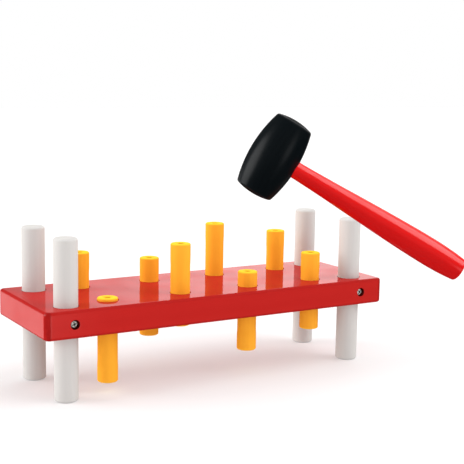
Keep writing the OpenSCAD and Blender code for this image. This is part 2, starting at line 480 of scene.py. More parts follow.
@dataclass(frozen=True)
class PlatedSteel:
    """Zinc-plated steel with a brushed, slightly clouded surface.

    Attributes:
        name: Name of the material.
        bright: Colour of the clean plating.
        dull: Colour of the clouded plating.
        painted_shade: Painted shade in the cross recess and on the rim beside the bore.
        metal: How far it shines like metal rather than like its matt film.
        roughness: Roughness of the clean plating.
        smear_roughness: Roughness that a full smear adds.
        wave_scale: Scale of the brushed waves.
        smear_scale: Scale of the clouds.
        wave_height: Height of the waves.
        wave_strength: How strongly the waves tell.
    """

    name: str = "plated_steel"
    bright: Colour = (0.94, 0.92, 0.87)
    dull: Colour = (0.74, 0.72, 0.66)
    painted_shade: Colour = (0.012, 0.018, 0.008)
    metal: float = 0.25
    roughness: float = 0.36
    smear_roughness: float = 0.2
    wave_scale: float = 2600.0
    smear_scale: float = 900.0
    wave_height: float = 0.02 * MM
    wave_strength: float = 0.6

    def build(self, effects: Effects) -> bpy.types.Material:
        """Makes the material.

        Args:
            effects: The shared shader groups.

        Returns:
            The finished material.
        """
        material, wiring = new_material(self.name)
        place = wiring.add("ShaderNodeTexCoord").outputs["Object"]
        skin = wiring.group(
            effects.skin, {"Vector": place, "Wave Scale": self.wave_scale, "Smear Scale": self.smear_scale}
        )
        # The mask paints shade in the cross recess and on the head's outer rim.
        light_masks = wiring.group(
            effects.painted_shading, {"Vector": place, "Wear": wiring.attribute(PAINTED_LIGHT, "Fac"), "Amount": 0.0}
        )
        clouded = wiring.blend(skin["Smear"], self.bright, self.dull)
        roughness = wiring.math("MULTIPLY_ADD", skin["Smear"], self.smear_roughness, self.roughness)
        bump = wiring.bump(skin["Height"], self.wave_height, self.wave_strength)
        wiring.surface(
            {
                "Base Color": wiring.blend(light_masks["Hollow"], clouded, self.painted_shade),
                "Roughness": roughness,
                "Metallic": self.metal,
                "Normal": bump.outputs[0],
            }
        )
        return material


# Painted light and shade: each finish's edge colour is painted shade on the board's edges and corners and a
# painted highlight on the rims of pegs, posts, handle and head; its darkest colour is painted shade in
# recesses.
RED_LACQUER = Lacquer(
    "red_lacquer",
    colour=(0.455, 0.0165, 0.0140),
    grain_colour=(0.39, 0.012, 0.0105),
    painted_edge_colour=(0.30, 0.009, 0.008),
    painted_shade_colour=(0.022, 0.003, 0.002),
    gloss=0.33,
    gloss_roughness=0.06,
    grain_share=0.3,
    painted_edge_share=1.0,
    ring_scale=26.0,
)
HANDLE_LACQUER = Lacquer(
    "handle_lacquer",
    colour=(0.49, 0.003, 0.003),
    grain_colour=(0.41, 0.002, 0.002),
    painted_edge_colour=(0.57, 0.01, 0.008),
    painted_shade_colour=(0.20, 0.002, 0.002),
    gloss=0.75,
    gloss_roughness=0.16,
    grain_share=0.25,
)
WHITE_LACQUER = Lacquer(
    "white_lacquer",
    colour=(0.565, 0.545, 0.525),
    grain_colour=(0.51, 0.495, 0.483),
    painted_edge_colour=(0.60, 0.590, 0.585),
    painted_shade_colour=(0.30, 0.27, 0.25),
    gloss=0.04,
    gloss_roughness=0.25,
    grain_share=0.22,
)
YELLOW_LACQUER = Lacquer(
    "yellow_lacquer",
    colour=(0.93, 0.405, 0.034),
    grain_colour=(0.87, 0.345, 0.026),
    painted_edge_colour=(0.96, 0.60, 0.036),
    painted_shade_colour=(0.45, 0.23, 0.005),
    gloss=0.02,
    gloss_roughness=0.22,
    grain_share=0.3,
    painted_edge_share=1.0,
)
BLACK_LACQUER = Lacquer(
    "black_lacquer",
    colour=(0.0022, 0.0040, 0.0052),
    grain_colour=(0.0012, 0.0023, 0.0030),
    painted_edge_colour=(0.010, 0.011, 0.012),
    painted_shade_colour=(0.001, 0.0012, 0.0012),
    gloss=0.25,
    gloss_roughness=0.3,
    grain_share=0.4,
    painted_edge_share=0.8,
    matt_share=0.85,
)


# Meshes


@dataclass
class Outline:
    """Half section of a turned piece, from its lower pole to its upper one.

    Attributes:
        points: Radius, height and painted light mask of each point.
    """

    points: list[Station] = field(default_factory=list)

    def to(self, radius: float, height: float, rim: float = 0.0) -> "Outline":
        """Goes straight to a point.

        Args:
            radius: Distance from the turning axis.
            height: Height along the axis.
            rim: Painted light mask there: above nought the edge colour, below nought painted shade.

        Returns:
            The outline itself.
        """
        if not self.points or math.dist(self.points[-1][:2], (radius, height)) > WELD:
            self.points.append((radius, height, rim))
        return self

    def arc(
        self,
        centre: tuple[float, float],
        radius: float,
        start: float,
        end: float,
        steps: int,
        rim: float = 0.0,
    ) -> "Outline":
        """Follows an arc.

        Args:
            centre: Radius and height of the arc's centre.
            radius: The arc's own radius.
            start: Angle where it starts, in degrees from the radius axis.
            end: Angle where it ends.
            steps: Number of straight steps.
            rim: Painted light mask half-way along.

        Returns:
            The outline itself.
        """
        for i in range(steps + 1):
            angle = math.radians(start + (end - start) * i / steps)
            mask = rim * math.sin(math.pi * i / steps)
            self.to(centre[0] + radius * math.cos(angle), centre[1] + radius * math.sin(angle), mask)
        return self

    def mirrored(self) -> "Outline":
        """Puts the same outline, upside down, before this one.

        Returns:
            An outline that is alike at both ends.
        """
        both = Outline()
        for radius, height, rim in reversed(self.points):
            both.to(radius, -height, rim)
        for radius, height, rim in self.points:
            both.to(radius, height, rim)
        return both

    def supported(self) -> list[Station]:
        """Points with others added near the ends of each long straight stretch.

        Returns:
            The points, so close at the edges that shading stays flat between them.
        """
        out = [self.points[0]]
        for first, last in zip(self.points, self.points[1:]):
            length = math.dist(first[:2], last[:2])
            if length > 4 * SUPPORT:
                for share in (SUPPORT / length, 1 - SUPPORT / length):
                    out.append(tuple(a + (b - a) * share for a, b in zip(first, last)))
            out.append(last)
        return out


def bowed(half: float, rise: float) -> float:
    """Radius of the arc that rises by rise over a chord of twice half."""
    return (half * half + rise * rise) / (2 * rise)


def plateau(share: float) -> float:
    """Mask over a rounding: one nearly all the way along, and nought at its two ends."""
    return min(1.0, PLATEAU_RISE * math.sin(math.pi * share))


def quarter(steps: int) -> list[float]:
    """Angles of the points over a quarter turn, in radians."""
    return [math.pi / 2 * i / steps for i in range(steps + 1)]


def circles_meet(a: Vector, radius_a: float, b: Vector, radius_b: float) -> Vector:
    """Outer one of the two points where two circles meet.

    Args:
        a: Centre of the first circle.
        radius_a: Its radius.
        b: Centre of the second circle.
        radius_b: Its radius.

    Returns:
        The point with the larger first coordinate.
    """
    apart = (b - a).length
    along = (b - a) / apart
    reach = (apart**2 + radius_a**2 - radius_b**2) / (2 * apart)
    off = math.sqrt(radius_a**2 - reach**2)
    across = Vector((along.y, -along.x))
    return max((a + reach * along + sign * off * across for sign in (-1, 1)), key=lambda p: p.x)


def put_out(wiring: Wiring, geometry: Any, finish: Any) -> bpy.types.NodeTree:
    """Ends a geometry tree with real instances in one finish.

    Args:
        wiring: The tree's wiring.
        geometry: Socket of what it puts out.
        finish: Socket of the material.

    Returns:
        The finished tree.
    """
    real = wiring.add("GeometryNodeRealizeInstances", {"Geometry": geometry})
    dressed = wiring.add("GeometryNodeSetMaterial", {"Geometry": real.outputs[0], "Material": finish})
    wiring.add("NodeGroupOutput", {"Piece": dressed.outputs[0]})
    return wiring.tree


def turning_tree() -> bpy.types.NodeTree:
    """Geometry nodes that turn an outline round its axis, as a lathe does.

    Returns:
        The tree, with named inputs for the number of segments and for the timber.
    """
    wiring, given = open_group(
        "Turned on a lathe",
        "Geometry",
        {
            "Outline": "Geometry",
            "Segments": "Int",
            "Spindle Radius": "Float",
            "Grain Shift": "Vector",
            "Finish": "Material",
        },
        {"Piece": "Geometry"},
    )
    profile = wiring.add("GeometryNodeMeshToCurve", {"Mesh": given["Outline"]})
    circle = wiring.add(
        "GeometryNodeCurvePrimitiveCircle",
        {"Resolution": given["Segments"], "Radius": given["Spindle Radius"]},
        mode="RADIUS",
    )
    upright = wiring.add("GeometryNodeSetCurveNormal", {"Curve": circle.outputs["Curve"]}, mode="Z_UP")
    swept = wiring.add(
        "GeometryNodeCurveToMesh", {"Curve": upright.outputs[0], "Profile Curve": profile.outputs[0]}
    )
    welded = wiring.add("GeometryNodeMergeByDistance", {"Geometry": swept.outputs[0], "Distance": WELD})
    place = wiring.add("GeometryNodeInputPosition")
    shifted = wiring.add(
        "ShaderNodeVectorMath", {0: place.outputs[0], 1: given["Grain Shift"]}, operation="ADD"
    )
    stored = wiring.add(
        "GeometryNodeStoreNamedAttribute",
        {"Geometry": welded.outputs[0], "Name": GRAIN, "Value": shifted.outputs[0]},
        data_type="FLOAT_VECTOR",
        domain="POINT",
    )
    return put_out(wiring, stored.outputs[0], given["Finish"])


def thread_tree() -> bpy.types.NodeTree:
    """Geometry nodes that wind a screw's thread round its core.

    Returns:
        The tree, with named inputs for the thread's sizes.
    """
    wiring, given = open_group(
        "Screw thread",
        "Geometry",
        {
            "Core": "Geometry",
            "Steps": "Int",
            "Turns": "Float",
            "Length": "Float",
            "Core Radius": "Float",
            "Tip Radius": "Float",
            "Ridge Sides": "Int",
            "Ridge Radius": "Float",
            "Lower End": "Vector",
            "Finish": "Material",
        },
        {"Piece": "Geometry"},
    )
    helix = wiring.add(
        "GeometryNodeCurveSpiral",
        {
            "Resolution": given["Steps"],
            "Rotations": given["Turns"],
            "Start Radius": given["Tip Radius"],
            "End Radius": given["Core Radius"],
            "Height": given["Length"],
        },
    )
    ridge = wiring.add(
        "GeometryNodeCurvePrimitiveCircle",
        {"Resolution": given["Ridge Sides"], "Radius": given["Ridge Radius"]},
        mode="RADIUS",
    )
    wound = wiring.add(
        "GeometryNodeCurveToMesh",
        {"Curve": helix.outputs[0], "Profile Curve": ridge.outputs["Curve"], "Fill Caps": True},
    )
    sunk = wiring.add(
        "GeometryNodeTransform", {"Geometry": wound.outputs[0], "Translation": given["Lower End"]}
    )
    joined = wiring.add("GeometryNodeJoinGeometry")
    for part in (given["Core"], sunk.outputs[0]):
        wiring.tree.links.new(part, joined.inputs[0])
    return put_out(wiring, joined.outputs[0], given["Finish"])


def shown_object(name: str, mesh: bpy.types.Mesh) -> bpy.types.Object:
    """Puts a mesh in the scene under a name.

    Args:
        name: Name of the object.
        mesh: Its mesh.

    Returns:
        The object.
    """
    piece = bpy.data.objects.new(name, mesh)
    bpy.context.scene.collection.objects.link(piece)
    return piece


def run_modifiers(piece: bpy.types.Object) -> bpy.types.Object:
    """Turns a piece into the plain mesh that its modifiers give.

    Args:
        piece: Object with modifiers.

    Returns:
        The same object, with its new mesh and no modifier.
    """
    depsgraph = bpy.context.evaluated_depsgraph_get()
    mesh = bpy.data.meshes.new_from_object(
        piece.evaluated_get(depsgraph), preserve_all_data_layers=True, depsgraph=depsgraph
    )
    piece.modifiers.clear()
    piece.data = mesh
    return piece


def cut_with(piece: bpy.types.Object, cutter: bmesh.types.BMesh) -> bpy.types.Object:
    """Cuts a shape out of a piece.

    Args:
        piece: Piece to cut.
        cutter: Closed mesh of what is cut away, freed here.

    Returns:
        The cut piece.
    """
    bmesh.ops.recalc_face_normals(cutter, faces=cutter.faces[:])
    mesh = bpy.data.meshes.new("cutter")
    cutter.to_mesh(mesh)
    cutter.free()
    tool = shown_object("cutter", mesh)
    modifier = piece.modifiers.new("cut", "BOOLEAN")
    modifier.object = tool
    modifier.operation = "DIFFERENCE"
    modifier.solver = "EXACT"
    run_modifiers(piece)
    bpy.data.objects.remove(tool)
    return piece


def run_tree(piece: bpy.types.Object, tree: bpy.types.NodeTree, values: dict[str, Any]) -> bpy.types.Object:
    """Runs a geometry tree on a piece.

    Args:
        piece: Object that holds the tree's input mesh.
        tree: Geometry node tree.
        values: Value of each named input.

    Returns:
        The same object, with the tree's result as its mesh.
    """
    modifier = piece.modifiers.new(tree.name, "NODES")
    modifier.node_group = tree
    for item in tree.interface.items_tree:
        if item.in_out == "INPUT" and item.name in values:
            modifier[item.identifier] = values[item.name]
    return run_modifiers(piece)


def finish_mesh(mesh: bpy.types.Mesh, place: Matrix) -> None:
    """Welds a mesh, points its faces outwards, smooths it and puts it in its place.

    Args:
        mesh: Mesh to finish.
        place: Where it goes, in the frame.
    """
    sheet = bmesh.new()
    sheet.from_mesh(mesh)
    bmesh.ops.remove_doubles(sheet, verts=sheet.verts[:], dist=WELD)
    bmesh.ops.recalc_face_normals(sheet, faces=sheet.faces[:])
    for face in sheet.faces:
        face.smooth = True
    sheet.to_mesh(mesh)
    sheet.free()
    mesh.set_sharp_from_angle(angle=SHARP_ANGLE)
    mesh.transform(place)
    mesh.update()


def hand_over(piece: bpy.types.Object, body: str, node: str) -> bpy.types.Object:
    """Ties a piece to its body, its finish and the node that it stands for.

    Args:
        piece: Finished piece.
        body: Body that it rides on.
        node: CAD node that it replaces.

    Returns:
        The piece.
    """
    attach(piece, body)
    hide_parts(node)
    LOG.info("%s: %d faces, on %s", piece.name, len(piece.data.polygons), body)
    return piece


@dataclass
class Workshop:
    """What every maker needs: the trees and the finishes.

    Attributes:
        turning: Tree that turns outlines.
        thread: Tree that winds screw threads.
        finishes: Materials, by name.
    """

    turning: bpy.types.NodeTree
    thread: bpy.types.NodeTree
    finishes: dict[str, bpy.types.Material]

    @classmethod
    def fitted_out(cls) -> "Workshop":
        """Builds the trees and the materials.

        Returns:
            The workshop.
        """
        effects = Effects()
        kinds = (
            RED_LACQUER,
            HANDLE_LACQUER,
            WHITE_LACQUER,
            YELLOW_LACQUER,
            BLACK_LACQUER,
            PlatedSteel(),
        )
        return cls(turning_tree(), thread_tree(), {kind.name: kind.build(effects) for kind in kinds})


# The board


@dataclass
class Hole:
    """A round hole in one flat face.

    Attributes:
        centre: Its place in the face.
        radius: Radius of its wall.
        rim: Rounding of its rim.
    """

    centre: tuple[float, float]
    radius: float
    rim: float

    def loops(self, steps: int) -> list[Station]:
        """Radius, depth and painted light mask of each ring from the face down to the wall, which gets
        painted shade.

        Args:
            steps: Number of steps over the rim.

        Returns:
            The rings, from the outermost in.
        """
        out = [(self.radius + self.rim + SUPPORT, 0.0, 0.0)]
        for angle in quarter(steps):
            inward = self.radius + self.rim * (1 - math.sin(angle))
            out.append((inward, self.rim * (1 - math.cos(angle)), 0.0))
        out.append((self.radius, self.rim + SUPPORT, -1.0))
        return out


@dataclass
class Board:
    """The lacquered board, with its drilled holes and counterbores.

    Attributes:
        node: CAD node that it stands for.
        corner_round: Radius of the upright corners.
        edge_round: Rounding of the edges round the two faces.
        edge_shade: Painted shade along those edges, as a share of that on the upright corners.
        hole_round: Rounding of the drilled holes' rims.
        bore_round: Rounding of the counterbores' rims.
        post_fit: Space round a post.
        peg_fit: Space round a peg.
        bore_radius: Radius of a counterbore.
        bore_depth: Depth of a counterbore.
        pilot_radius: Radius of a screw's pilot hole.
        pilot_depth: Depth that is shown of a pilot hole.
        round_steps: Steps over a small rounding.
        hole_segments: Segments round a hole.
    """

    node: str = "board"
    corner_round: float = 4.5 * MM
    edge_round: float = 2.25 * MM
    edge_shade: float = 0.4
    hole_round: float = 0.8 * MM
    bore_round: float = 0.25 * MM
    post_fit: float = 0.15 * MM
    peg_fit: float = 0.1 * MM
    bore_radius: float = 3.6 * MM
    bore_depth: float = 3.5 * MM
    pilot_radius: float = 1.6 * MM
    pilot_depth: float = 4 * MM
    round_steps: int = 8
    hole_segments: int = 72

    def __post_init__(self) -> None:
        """Reads the board's box from the frame."""
        self.low, self.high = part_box(self.node)
        self.sheet = bmesh.new()
        self.wear = self.sheet.verts.layers.float.new(PAINTED_LIGHT)

    def _ring(self, points: list[Place], mask: float) -> Ring:
        """Adds a closed ring of points.

        Args:
            points: Places of the points.
            mask: Their painted light mask.

        Returns:
            The new points.
        """
        ring = [self.sheet.verts.new(point) for point in points]
        for vert in ring:
            vert[self.wear] = mask
        return ring

    def _bridge(self, first: Ring, last: Ring, skip: set[int] = frozenset()) -> None:
        """Joins two rings with four-sided faces.

        Args:
            first: One ring.
            last: The other, with as many points.
            skip: Steps that are left open.
        """
        count = len(first)
        for i in range(count):
            if i not in skip:
                after = (i + 1) % count
                self.sheet.faces.new((first[i], first[after], last[after], last[i]))

    def _outline(self, inset: float, height: float) -> list[Place]:
        """Points round the board at one height.

        Args:
            inset: How far inside the full outline.
            height: Their Z.

        Returns:
            The points, each corner as an arc with a support point beside each end.
        """
        half_x = self.high.x - inset
        half_y = self.high.y - inset
        radius = self.corner_round - inset
        points = []
        for sx, sy, turn in ((1, 1, 0), (-1, 1, 90), (-1, -1, 180), (1, -1, 270)):
            centre = Vector((sx * (half_x - radius), sy * (half_y - radius)))
            steps = [math.radians(turn) + angle for angle in quarter(self.round_steps)]
            arc = [centre + radius * Vector((math.cos(a), math.sin(a))) for a in steps]
            before = Vector((math.sin(steps[0]), -math.cos(steps[0]))) * SUPPORT
            after = Vector((-math.sin(steps[-1]), math.cos(steps[-1]))) * SUPPORT
            points += [arc[0] + before, *arc, arc[-1] + after]
        return [(point.x, point.y, height) for point in points]

    def _circle(self, hole: Hole, radius: float, axis: str, level: float) -> list[Place]:
        """Points round a hole.

        Args:
            hole: The hole, in the plane across the axis.
            radius: Radius of the circle.
            axis: Y or Z, the hole's direction.
            level: Place along that axis.

        Returns:
            The points.
        """
        points = []
        for i in range(self.hole_segments):
            angle = 2 * math.pi * i / self.hole_segments
            first = hole.centre[0] + radius * math.cos(angle)
            second = hole.centre[1] + radius * math.sin(angle)
            points.append((first, second, level) if axis == "Z" else (first, level, second))
        return points

    def _walls(self, hole: Hole, axis: str, stations: list[Station]) -> list[Ring]:
        """Makes the rings of a hole, joined one to the next.

        Args:
            hole: Place and size of the hole.
            axis: Y or Z, the hole's direction.
            stations: Radius, place along the axis and painted light mask of each ring.

        Returns:
            The rings, in the same order.
        """
        rings = [self._ring(self._circle(hole, r, axis, level), mask) for r, level, mask in stations]
        for first, last in zip(rings, rings[1:]):
            self._bridge(first, last)
        return rings

    def _edges_of(self, ring: Ring) -> list[bmesh.types.BMEdge]:
        """Edges round a ring, made where there are none yet."""
        pairs = zip(ring, ring[1:] + ring[:1])
        return [self.sheet.edges.get(pair) or self.sheet.edges.new(pair) for pair in pairs]

    def _drill_through(self, hole: Hole) -> tuple[Ring, Ring]:
        """Makes the wall of a hole through the board.

        Args:
            hole: Place and size of the hole.

        Returns:
            Its outermost rings, in the upper and the lower face.
        """
        loops = hole.loops(self.round_steps)
        stations = [(radius, self.high.z - depth, mask) for radius, depth, mask in loops]
        stations += [(radius, self.low.z + depth, mask) for radius, depth, mask in reversed(loops)]
        rings = self._walls(hole, "Z", stations)
        return rings[0], rings[-1]

    def _counterbore(self, hole: Hole, side: Side) -> Ring:
        """Makes a counterbore with the mouth of its pilot hole.

        Args:
            hole: Place and size of the bore in the side face.
            side: Long side that it is in.

        Returns:
            Its outermost ring, in the side face.
        """
        depth = self.bore_depth
        loops = hole.loops(self.round_steps)
        # The counterbore's wall and floor and the pilot's mouth get painted shade.
        loops += [
            (hole.radius, depth - SUPPORT, -1.0),
            (hole.radius, depth, -1.0),
            (self.pilot_radius, depth, -1.0),
            (self.pilot_radius, depth + self.pilot_depth, -1.0),
        ]
        face_y = side.value * self.high.y
        stations = [(radius, face_y - side.value * down, mask) for radius, down, mask in loops]
        rings = self._walls(hole, "Y", stations)
        self.sheet.faces.new(rings[-1])
        return rings[0]

    def _skin(self) -> tuple[list[Ring], set[int]]:
        """Makes the rounded edges and the two ends.

        Returns:
            The rings round the board from top to bottom, and the steps that the long sides take.
        """
        top, bottom, radius = self.high.z, self.low.z, self.edge_round
        half = [(radius + SUPPORT, 0.0, 0.0)]
        # The edges round the faces get part of the painted shade that the upright corners get in full.
        for i, angle in enumerate(quarter(self.round_steps)):
            mask = self.edge_shade * plateau(i / self.round_steps)
            half.append((radius * (1 - math.sin(angle)), radius * (1 - math.cos(angle)), mask))
        half.append((0.0, radius + SUPPORT, 0.0))
        levels = [(inset, top - down, mask) for inset, down, mask in half]
        levels += [(inset, bottom + down, mask) for inset, down, mask in reversed(half)]
        rings = [self._ring(self._outline(inset, z), mask) for inset, z, mask in levels]
        # The upright corners get the full painted shade over their rounding.
        per_corner = self.round_steps + 3  # the points of an arc and the support points beside it
        for ring in rings[1:-1]:
            for i, vert in enumerate(ring):
                step = min(max(i % per_corner - 1, 0), self.round_steps)
                vert[self.wear] = max(vert[self.wear], plateau(step / self.round_steps))
        long_sides = {per_corner - 1, 3 * per_corner - 1}
        middle = len(half) - 1
        for i, (first, last) in enumerate(zip(rings, rings[1:])):
            self._bridge(first, last, long_sides if i == middle else set())
        return [rings[0], rings[middle], rings[middle + 1], rings[-1]], long_sides

    def _fill(self, rings: list[Ring], normal: Place) -> None:
        """Fills a flat face between its outer ring and its holes.

        Args:
            rings: The outer ring, then the rings of the holes.
            normal: Direction that the face looks in.
        """
        edges = [edge for ring in rings for edge in self._edges_of(ring)]
        bmesh.ops.triangle_fill(self.sheet, use_beauty=True, edges=edges, normal=normal)

    def build(self, workshop: Workshop, posts: list["Post"], pegs: list["Peg"]) -> bpy.types.Object:
        """Makes the board.

        Args:
            workshop: Trees and finishes.
            posts: Posts that pass through it.
            pegs: Pegs that stand in it.

        Returns:
            The finished piece.
        """
        fits = [(post, self.post_fit) for post in posts] + [(peg, self.peg_fit) for peg in pegs]
        holes = [Hole(dowel.axis, dowel.radius + fit, self.hole_round) for dowel, fit in fits]
        mouths = [self._drill_through(hole) for hole in holes]
        (upper, side_top, side_bottom, lower), long_sides = self._skin()
        self._fill([upper, *(mouth[0] for mouth in mouths)], (0, 0, 1))
        self._fill([lower, *(mouth[1] for mouth in mouths)], (0, 0, -1))
        middle = (self.low.z + self.high.z) / 2
        for step in sorted(long_sides):
            after = step + 1
            side = Side.BACK if side_top[step].co.y > 0 else Side.FRONT
            panel = [side_top[step], side_top[after], side_bottom[after], side_bottom[step]]
            bores = [
                self._counterbore(Hole((post.axis[0], middle), self.bore_radius, self.bore_round), side)
                for post in posts
                if post.axis[1] * side.value > 0
            ]
            self._fill([panel, *bores], (0, side.value, 0))
        mesh = bpy.data.meshes.new("board")
        self.sheet.to_mesh(mesh)
        self.sheet.free()
        finish_mesh(mesh, Matrix())
        grain = mesh.attributes.new(GRAIN, "FLOAT_VECTOR", "POINT")
        for vert in mesh.vertices:
            x, y, z = vert.co
            grain.data[vert.index].vector = (y, z, x)
        mesh.materials.append(workshop.finishes[RED_LACQUER.name])
        return hand_over(shown_object("lacquered_board", mesh), Body.BENCH.value, self.node)


# Turned pieces


@dataclass
class Turned:
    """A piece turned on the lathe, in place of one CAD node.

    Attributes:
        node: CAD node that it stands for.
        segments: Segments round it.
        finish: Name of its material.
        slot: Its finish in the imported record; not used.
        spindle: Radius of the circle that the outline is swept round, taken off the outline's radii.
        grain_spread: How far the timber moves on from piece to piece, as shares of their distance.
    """

    node: str
    segments: int = 96
    finish: str = RED_LACQUER.name
    slot: Slot = Slot.RED
    spindle: float = 0.004 * MM
    grain_spread: tuple[float, float] = (1.7, 2.3)

    def outline(self) -> Outline:
        """Half section of the piece."""
        raise NotImplementedError

    def place(self) -> Matrix:
        """Where the turned piece goes."""
        raise NotImplementedError

    def body(self) -> str:
        """Body that the piece rides on."""
        return Body.BENCH.value

    def worked(self, piece: bpy.types.Object) -> bpy.types.Object:
        """Work on the piece after the lathe; most pieces need none."""
        return piece

    def lit(self, piece: bpy.types.Object) -> None:
        """How the piece takes part in the light; most pieces do so in every way."""

    def turn(self, workshop: Workshop) -> bpy.types.Object:
        """Runs the outline through the turning tree.

        Args:
            workshop: Trees and finishes.

        Returns:
            The turned piece, still on its own axis.
        """
        points = self.outline().supported()
        mesh = bpy.data.meshes.new(self.node)
        steps = [(i, i + 1) for i in range(len(points) - 1)]
        mesh.from_pydata([(r - self.spindle, -z, 0.0) for r, z, _ in points], steps, [])
        # The outline's painted light mask, one value a point.
        rim = mesh.attributes.new(PAINTED_LIGHT, "FLOAT", "POINT")
        rim.data.foreach_set("value", [mask for _, _, mask in points])
        piece = shown_object(f"turned_{self.node}", mesh)
        x, y, _ = self.place().translation
        spread_x, spread_y = self.grain_spread
        return run_tree(
            piece,
            workshop.turning,
            {
                "Segments": self.segments,
                "Spindle Radius": self.spindle,
                "Grain Shift": (x * spread_x, y * spread_y, x + y),
                "Finish": workshop.finishes[self.finish],
            },
        )

    def build(self, workshop: Workshop) -> bpy.types.Object:
        """Turns, works and places the piece.

        Args:
            workshop: Trees and finishes.

        Returns:
            The finished piece.
        """
        piece = self.worked(self.turn(workshop))
        finish_mesh(piece.data, self.place())
        self.lit(piece)
        return hand_over(piece, self.body(), self.node)


@dataclass
class Dowel(Turned):
    """An upright turned piece whose size and place come from its node's box."""

    def __post_init__(self) -> None:
        """Reads the box of the node."""
        low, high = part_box(self.node)
        self.radius = (high.x - low.x) / 2
        self.half = (high.z - low.z) / 2
        middle = (low + high) / 2
        self.axis = (middle.x, middle.y)
        self.middle = middle

    def place(self) -> Matrix:
        """The middle of the node's box."""
        return Matrix.Translation(self.middle)


@dataclass
class Post(Dowel):
    """One of the four white posts.

    Attributes:
        end_round: Rounding of its two ends.
        end_steps: Steps over that rounding.
    """

    finish: str = WHITE_LACQUER.name
    slot: Slot = Slot.WHITE
    end_round: float = 2 * MM
    end_steps: int = 10

    def outline(self) -> Outline:
        """A straight dowel with rounded ends.

        Returns:
            The outline.
        """
        shoulder = (self.radius - self.end_round, self.half - self.end_round)
        # The rounded ends carry a painted highlight.
        end = Outline().arc(shoulder, self.end_round, 0, 90, self.end_steps, rim=1.0)
        return end.to(0.0, self.half).mirrored()


@dataclass
class Peg(Dowel):
    """One of the eight yellow pegs.

    Attributes:
        rim_round: Rounding of its rims.
        land: Length of full diameter at each end.
        taper: Length over which it narrows to the waist.
        relief: How much thinner the waist is, all round.
        dish_radius: Radius of the dish in each end.
        dish_depth: Depth that the dish would have in its middle.
        dimple_radius: Radius of the lathe centre's cone.
        dimple_depth: Depth of the cone below the dish.
        mark_radius: Radius of the lathe centre's point.
        mark_depth: Depth of the point's mark below the end.
        dish_fade: How much of the painted light on the top is gone at the dish's inner edge.
        lip_share: Width and depth of the cone's lip, as a share of the cone's.
        waist_steps: Steps over the taper to the waist.
        end_steps: Steps over a rim, and over the dish.
    """

    finish: str = YELLOW_LACQUER.name
    slot: Slot = Slot.YELLOW
    rim_round: float = 1.2 * MM
    land: float = 11 * MM
    taper: float = 7 * MM
    relief: float = 0.2 * MM
    dish_radius: float = 4.5 * MM
    dish_depth: float = 0.5 * MM
    dimple_radius: float = 2.3 * MM
    dimple_depth: float = 1.1 * MM
    mark_radius: float = 0.75 * MM
    mark_depth: float = 3 * MM
    dish_fade: float = 0.6
    lip_share: float = 0.08
    waist_steps: int = 12
    end_steps: int = 8

    def body(self) -> str:
        """Each peg is a body of its own, with its node's name."""
        return self.node

    def outline(self) -> Outline:
        """A dowel with a slightly thinner waist and a dished end with the centre's mark.

        Returns:
            The outline.
        """
        half, steps = self.half, self.end_steps
        out = Outline()
        for i in range(self.waist_steps + 1):
            share = i / self.waist_steps
            eased = (1 - math.cos(math.pi * share)) / 2
            height = half - self.land - self.taper * (1 - share)
            out.to(self.radius - self.relief * (1 - eased), height)
        shoulder = (self.radius - self.rim_round, half - self.rim_round)
        # The rim and the dish carry painted light that makes the top lighter.
        for angle in quarter(steps):
            radius = shoulder[0] + self.rim_round * math.cos(angle)
            out.to(radius, shoulder[1] + self.rim_round * math.sin(angle), math.sin(angle))
        bowl = bowed(self.dish_radius, self.dish_depth)
        for i in range(steps + 1):
            radius = self.dish_radius + (self.dimple_radius - self.dish_radius) * i / steps
            sag = math.sqrt(bowl**2 - radius**2) - math.sqrt(bowl**2 - self.dish_radius**2)
            out.to(radius, half - sag, 1.0 - self.dish_fade * i / steps)
        # The cone and the centre's mark carry painted shade.
        lip = self.lip_share * (self.dimple_radius - self.mark_radius)
        out.to(self.dimple_radius - lip, half - sag - self.lip_share * self.dimple_depth, -1.0)
        out.to(self.mark_radius, half - sag - self.dimple_depth, -1.0)
        out.to(self.mark_radius, half - self.mark_depth + self.mark_radius, -1.0)
        out.to(0.0, half - self.mark_depth, -1.0)
        return out.mirrored()


# The hammer


@dataclass
class HammerStance:
    """Where the hammer hangs at rest, from its joint in the frame.

    Attributes:
        joint: Name of the joint that it swings about.
        grip_reach: Distance from the head's axis to the joint.
    """

    joint: str = "hammer_swing"
    grip_reach: float = 115.5 * MM

    def place(self) -> Matrix:
        """Matrix of the hammer's own axes: X towards the hand, Z along the head.

        Returns:
            The matrix, with the head's centre at its origin.
        """
        joint = next(j for j in frame["joints"] if j["name"] == self.joint)
        across = -Vector(joint["axis"]).normalized()
        level = across.cross(UP).normalized()
        flat = Matrix((level, across, level.cross(across))).transposed()
        lift = Matrix.Rotation(math.radians(joint["range_deg"][1]), 3, across)
        axes = (lift @ flat).to_4x4()
        to_head = Matrix.Translation((-self.grip_reach, 0, 0))
        return Matrix.Translation(joint["pos_m"]) @ axes @ to_head


@dataclass
class HammerPart(Turned):
    """A part of the hammer, which rides on the hammer's body.

    Attributes:
        stance: Where the hammer hangs.
        head_radius: Radius of the head at its middle.
        neck_radius: Radius of the handle at the head.
        fit: Space between the handle and its socket.
        socket_past_axis: How far the socket is drilled past the head's axis.
    """

    stance: HammerStance = field(default_factory=HammerStance)
    head_radius: float = 20.2 * MM
    neck_radius: float = 7.0 * MM
    fit: float = 0.05 * MM
    socket_past_axis: float = 6 * MM

    def body(self) -> str:
        """Both parts move together."""
        return Body.HAMMER.value

    def lit(self, piece: bpy.types.Object) -> None:
        """The hammer hangs in the air and throws neither a shadow nor its colour on the bench."""
        piece.visible_shadow = False
        piece.visible_diffuse = False


